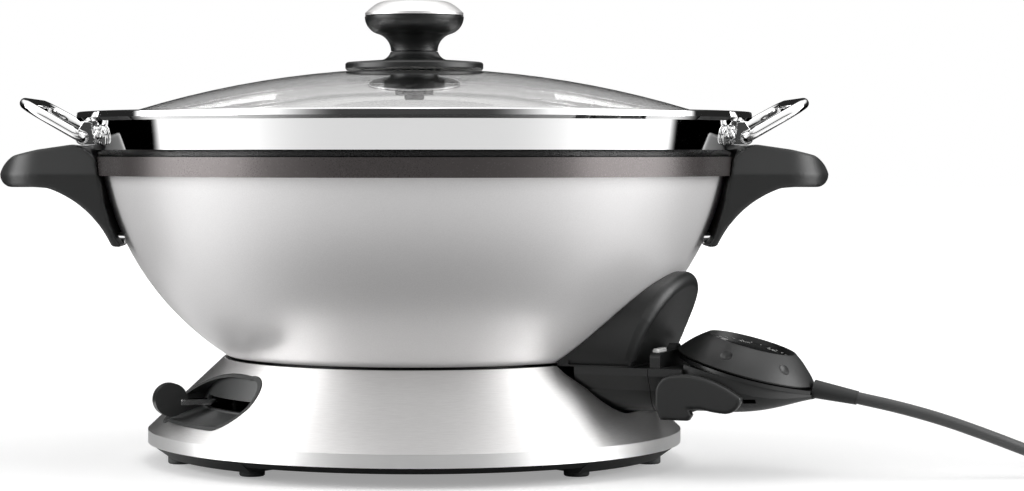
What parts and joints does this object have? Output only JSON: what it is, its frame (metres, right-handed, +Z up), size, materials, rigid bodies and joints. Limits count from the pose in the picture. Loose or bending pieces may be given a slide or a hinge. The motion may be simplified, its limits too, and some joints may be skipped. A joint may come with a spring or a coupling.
{
  "type": "electric wok",
  "caption": "Electric wok: heated pan with side handles on a locking steel base, steamer tray, glass lid with vented knob, plug-in thermostat probe and cord.",
  "frame": {"origin": "on the pan's axis, at the level that the rubber feet stand on", "axes": "+X to the right-hand side handle, -Y to the front, where the lock lever is to the left and the probe to the right, +Z up"},
  "size_m": [0.67, 0.373, 0.2541],
  "materials": {
    "pan_coating": "metallic satin enamel outside, dark non-stick coating on the rim and inside",
    "brushed_steel": "circular brushed stainless steel",
    "polished_steel": "mirror polished stainless steel",
    "black_moulding": "fine-textured black heat-resistant plastic",
    "gloss_black": "glossy black plastic",
    "foot_rubber": "matt black rubber",
    "lid_glass": "clear tempered glass, faintly grey",
    "plated_screws": "zinc plated steel",
    "ceramic": "unglazed steatite ceramic",
    "contact_metal": "nickel-plated brass",
    "element_steel": "heat-darkened steel sheath",
    "cord_pvc": "satin black PVC cord",
    "silicone": "translucent grey silicone",
    "light_lens": "pale frosted lens",
    "white_print": "white printed marks"
  },
  "bodies": {
    "base": {"base_plate": "black_moulding", "rubber_feet": "foot_rubber", "support_ring": "black_moulding", "base_screws": "plated_screws", "base_skirt": "brushed_steel", "lever_bezel": "black_moulding"},
    "lock_lever": {"lock_ring": "black_moulding", "lock_lever_arm": "plated_screws", "lock_lever_paddle": "black_moulding"},
    "wok": {"wok_pan": "pan_coating", "locking_foot": "black_moulding", "heating_element": "element_steel", "socket_housing": "black_moulding", "terminal_block": "ceramic", "terminal_pins": "contact_metal", "sensor_sleeve": "contact_metal", "probe_hood": "black_moulding", "right_handle": "black_moulding", "left_handle": "black_moulding", "handle_studs": "polished_steel"},
    "steamer": {"steamer_tray": "polished_steel", "tray_brackets": "polished_steel", "bracket_rivets": "polished_steel"},
    "right_loop": {"right_loop_handle": "polished_steel"},
    "left_loop": {"left_loop_handle": "polished_steel"},
    "lid": {"lid_glass": "lid_glass", "lid_rim_band": "polished_steel", "knob_washer": "silicone", "knob_body": "black_moulding", "knob_cap": "brushed_steel", "lid_seal_washer": "silicone", "lid_clamp_ring": "gloss_black", "lid_star_nut": "gloss_black", "lid_screw": "plated_screws"},
    "vent": {"vent_dial": "black_moulding"},
    "probe": {"probe_neck": "black_moulding", "probe_shell": "black_moulding", "probe_deck": "black_moulding", "sensor_rod": "plated_screws", "contact_tubes": "contact_metal", "heating_light": "light_lens", "thermostat_body": "ceramic", "lever_pin": "plated_screws", "strain_relief": "cord_pvc", "cord_tube": "cord_pvc", "cord_coil": "cord_pvc", "plug_body": "cord_pvc", "plug_blades": "contact_metal"},
    "dial": {"dial_knob": "black_moulding", "dial_face": "gloss_black", "dial_shaft": "plated_screws"},
    "release": {"release_lever": "black_moulding"}
  },
  "joints": [
    {"name": "lock_turn", "type": "hinge", "parent": "base", "child": "lock_lever", "pos_m": [0, 0, 0.046], "axis": [0, 0, 1], "range_deg": [0, 20]},
    {"name": "wok_lift", "type": "slide", "parent": "base", "child": "wok", "axis": [0, 0, 1], "range_m": [0, 0.08]},
    {"name": "tray_lift", "type": "slide", "parent": "wok", "child": "steamer", "axis": [0, 0, 1], "range_m": [0, 0.08]},
    {"name": "lid_lift", "type": "slide", "parent": "steamer", "child": "lid", "axis": [0, 0, 1], "range_m": [0, 0.1]},
    {"name": "vent_turn", "type": "hinge", "parent": "lid", "child": "vent", "pos_m": [0, 0, 0.22], "axis": [0, 0, 1], "range_deg": [0, 45]},
    {"name": "right_loop_swing", "type": "hinge", "parent": "steamer", "child": "right_loop", "pos_m": [0.179, 0, 0.1784], "axis": [0, -1, 0], "range_deg": [-26, 30]},
    {"name": "left_loop_swing", "type": "hinge", "parent": "steamer", "child": "left_loop", "pos_m": [-0.179, 0, 0.1784], "axis": [0, 1, 0], "range_deg": [-26, 30]},
    {"name": "probe_pull", "type": "slide", "parent": "wok", "child": "probe", "axis": [0.9272, -0.3746, 0], "range_m": [0, 0.06]},
    {"name": "dial_turn", "type": "hinge", "parent": "probe", "child": "dial", "pos_m": [0.17616, -0.07118, 0.056], "axis": [0.24, -0.097, 0.9659], "range_deg": [0, 290]},
    {"name": "release_press", "type": "hinge", "parent": "probe", "child": "release", "pos_m": [0.13215, -0.09869, 0.0485], "axis": [0.3746, 0.9272, 0], "range_deg": [0, 8], "stiffness_Nm_per_rad": 0.4, "springref_deg": -8.59}
  ]
}
